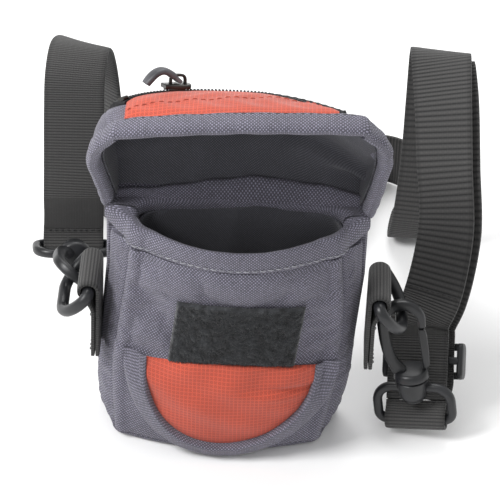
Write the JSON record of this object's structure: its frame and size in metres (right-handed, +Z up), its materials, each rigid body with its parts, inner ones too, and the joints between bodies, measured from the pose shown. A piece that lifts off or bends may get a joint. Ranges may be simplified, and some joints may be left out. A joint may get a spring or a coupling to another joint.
{
  "type": "camera pouch",
  "caption": "Small padded cloth pouch with a hinged open lid, zipped lid pocket, front pocket with loop tape, side D-rings and a webbing strap on swivel snap hooks.",
  "frame": {"origin": "centre of the pouch's base, on the surface that it stands on", "axes": "+X to the right seen from the front, -Y towards the front, +Z up"},
  "size_m": [0.1563, 0.1662, 0.1439],
  "materials": {
    "grey_cloth": "coarse nylon weave",
    "orange_cloth": "ripstop nylon",
    "lining_cloth": "smooth lining",
    "pile_tape": "hook and loop pile",
    "webbing": "ribbed webbing",
    "plastic": "moulded",
    "zip_coil": "moulded coil",
    "zip_metal": "dark enamel",
    "pull_rubber": "moulded grey"
  },
  "bodies": {
    "pouch": {"front_panel": "grey_cloth", "left_gusset": "grey_cloth", "right_gusset": "grey_cloth", "rear_panel": "grey_cloth", "base_panel": "grey_cloth", "front_hem": "grey_cloth", "rear_hem": "grey_cloth", "body_lining": "lining_cloth", "pocket_panel": "orange_cloth", "pocket_rim": "grey_cloth", "loop_tape": "pile_tape", "belt_loop": "grey_cloth", "right_tab": "webbing", "left_tab": "webbing", "right_swivel_loop": "plastic", "left_swivel_loop": "plastic", "right_sewn_loop": "webbing", "left_sewn_loop": "webbing", "strap_coil": "webbing", "strap_right": "webbing", "strap_left": "webbing", "strap_return": "webbing"},
    "lid": {"lid_top": "grey_cloth", "lid_flap": "grey_cloth", "lid_hem": "grey_cloth", "lid_lining": "lining_cloth", "lid_left_side": "grey_cloth", "lid_right_side": "grey_cloth", "hook_tape": "pile_tape", "lid_pocket_panel": "orange_cloth", "zip_tape": "webbing", "zip_chain": "zip_coil", "zip_start_stop": "zip_metal", "zip_end_stop": "zip_metal"},
    "slider": {"zip_slider": "zip_metal"},
    "pull": {"zip_pull": "pull_rubber"},
    "right_ring_body": {"right_ring": "plastic"},
    "left_ring_body": {"left_ring": "plastic"},
    "right_hook_body": {"right_hook": "plastic"},
    "left_hook_body": {"left_hook": "plastic"},
    "right_gate_body": {"right_gate": "plastic"},
    "left_gate_body": {"left_gate": "plastic"},
    "adjuster": {"tri_glide": "plastic"}
  },
  "joints": [
    {"name": "lid_hinge", "type": "hinge", "parent": "pouch", "child": "lid", "pos_m": [0, 0.0093, 0.0932], "axis": [1, 0, 0], "range_deg": [-50, 115]},
    {"name": "zip_run", "type": "hinge", "parent": "lid", "child": "slider", "pos_m": [-0.003, -0.02364, 0.14939], "axis": [0, -0.4226, -0.9063], "range_deg": [-17, 60]},
    {"name": "pull_flip", "type": "hinge", "parent": "slider", "child": "pull", "pos_m": [-0.02136, 0.01787, 0.13604], "axis": [-0.3907, 0.8343, -0.389], "range_deg": [-10, 125]},
    {"name": "right_ring_swing", "type": "hinge", "parent": "pouch", "child": "right_ring_body", "pos_m": [0.0487, 0.0055, 0.0595], "axis": [0, 1, 0], "range_deg": [-2, 8]},
    {"name": "left_ring_swing", "type": "hinge", "parent": "pouch", "child": "left_ring_body", "pos_m": [-0.0487, 0.0055, 0.0595], "axis": [0, 1, 0], "range_deg": [-10, 8]},
    {"name": "right_hook_swivel", "type": "hinge", "parent": "pouch", "child": "right_hook_body", "pos_m": [0.06154, 0.0024, 0.02587], "axis": [-0.1499, 0.1369, 0.9792], "range_deg": [-8, 8]},
    {"name": "left_hook_swivel", "type": "hinge", "parent": "pouch", "child": "left_hook_body", "pos_m": [-0.05614, 0.03516, 0.04271], "axis": [0.1104, -0.9135, 0.3915], "range_deg": [-8, 1]},
    {"name": "right_gate_spring", "type": "hinge", "parent": "right_hook_body", "child": "right_gate_body", "pos_m": [0.06644, 0.00291, 0.02951], "axis": [0, -0.9904, 0.1384], "range_deg": [0, 19], "stiffness_Nm_per_rad": 0.02},
    {"name": "left_gate_spring", "type": "hinge", "parent": "left_hook_body", "child": "left_gate_body", "pos_m": [-0.05153, 0.03168, 0.04068], "axis": [-0.5956, -0.3762, -0.7098], "range_deg": [0, 19], "stiffness_Nm_per_rad": 0.02},
    {"name": "adjuster_slide", "type": "slide", "parent": "pouch", "child": "adjuster", "axis": [-0.0038, 0.6733, 0.7394], "range_m": [-0.0015, 0.0015]}
  ]
}
